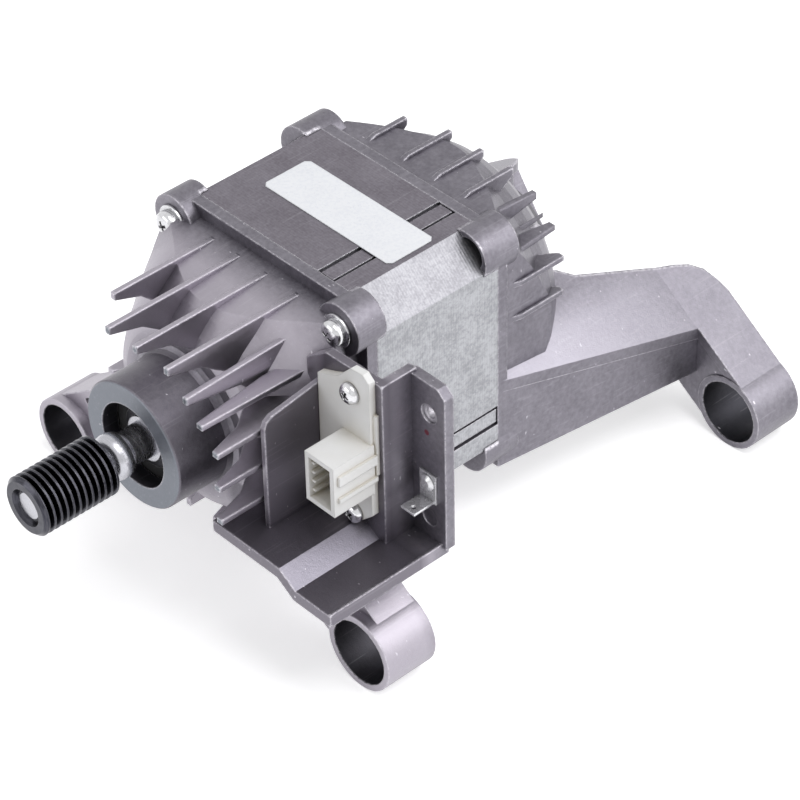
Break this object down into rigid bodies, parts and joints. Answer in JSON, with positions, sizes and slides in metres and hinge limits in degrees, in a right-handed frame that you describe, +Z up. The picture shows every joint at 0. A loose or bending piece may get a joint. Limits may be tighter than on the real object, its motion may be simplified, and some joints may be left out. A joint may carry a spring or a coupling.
{
  "type": "washing machine motor",
  "caption": "Belt-drive washing machine motor with finned cast end shields, square stator stack, ribbed pulley, four tubular mounting feet and a connector bracket.",
  "frame": {"origin": "middle of the footprint's bounding box, at the height of the underside of the feet", "axes": "+Z up with the motor standing on its four foot tubes; the shaft lies along Y with the pulley at the -Y end; +X towards the connector bracket"},
  "size_m": [0.1664, 0.2454, 0.1122],
  "materials": {
    "cast_alloy": "satin cast",
    "lamination": "stacked sheets",
    "bright_steel": "bright",
    "shaft_steel": "turned",
    "liner": "matte",
    "copper_wire": "varnished wire",
    "zinc": "zinc plated",
    "cage_plastic": "matte",
    "seal_rubber": "matte",
    "black_steel": "black oxide, oiled",
    "magnet": "matte",
    "cream_plastic": "matte",
    "white_plastic": "satin",
    "terminal_brass": "tinned brass",
    "paper": "smooth film"
  },
  "bodies": {
    "housing": {"front_shield": "cast_alloy", "rear_shield": "cast_alloy", "stator_stack": "lamination", "stator_cleats": "bright_steel", "slot_liners": "liner", "stator_winding": "copper_wire", "housing_screws": "zinc", "front_bearing_outer": "bright_steel", "front_bearing_seals": "seal_rubber", "rear_bearing_outer": "bright_steel", "rear_bearing_seals": "seal_rubber", "wave_washer": "bright_steel", "tacho_coil": "copper_wire", "tacho_cover": "cream_plastic", "connector_housing": "white_plastic", "connector_terminals": "terminal_brass", "connector_screws": "zinc", "earth_tab": "zinc", "earth_rivet": "zinc", "label": "paper"},
    "rotor": {"shaft": "shaft_steel", "rotor_core": "lamination", "rotor_cage": "cast_alloy", "pulley": "black_steel", "front_bearing_inner": "bright_steel", "rear_bearing_inner": "bright_steel", "tacho_magnet": "magnet"},
    "front_ball_set": {"front_bearing_balls": "bright_steel", "front_bearing_cage": "cage_plastic"},
    "rear_ball_set": {"rear_bearing_balls": "bright_steel", "rear_bearing_cage": "cage_plastic"}
  },
  "joints": [
    {"name": "rotor_spin", "type": "hinge", "parent": "housing", "child": "rotor", "pos_m": [0, -0.02433, 0.0662], "axis": [0, 1, 0], "continuous": true},
    {"name": "front_cage_spin", "type": "hinge", "parent": "housing", "child": "front_ball_set", "pos_m": [0, -0.02433, 0.0662], "axis": [0, 1, 0], "continuous": true},
    {"name": "rear_cage_spin", "type": "hinge", "parent": "housing", "child": "rear_ball_set", "pos_m": [0, -0.02433, 0.0662], "axis": [0, 1, 0], "continuous": true}
  ],
  "couplings": [
    {"joint": "front_cage_spin", "follows": "rotor_spin", "ratio": 0.38},
    {"joint": "rear_cage_spin", "follows": "rotor_spin", "ratio": 0.36364}
  ]
}
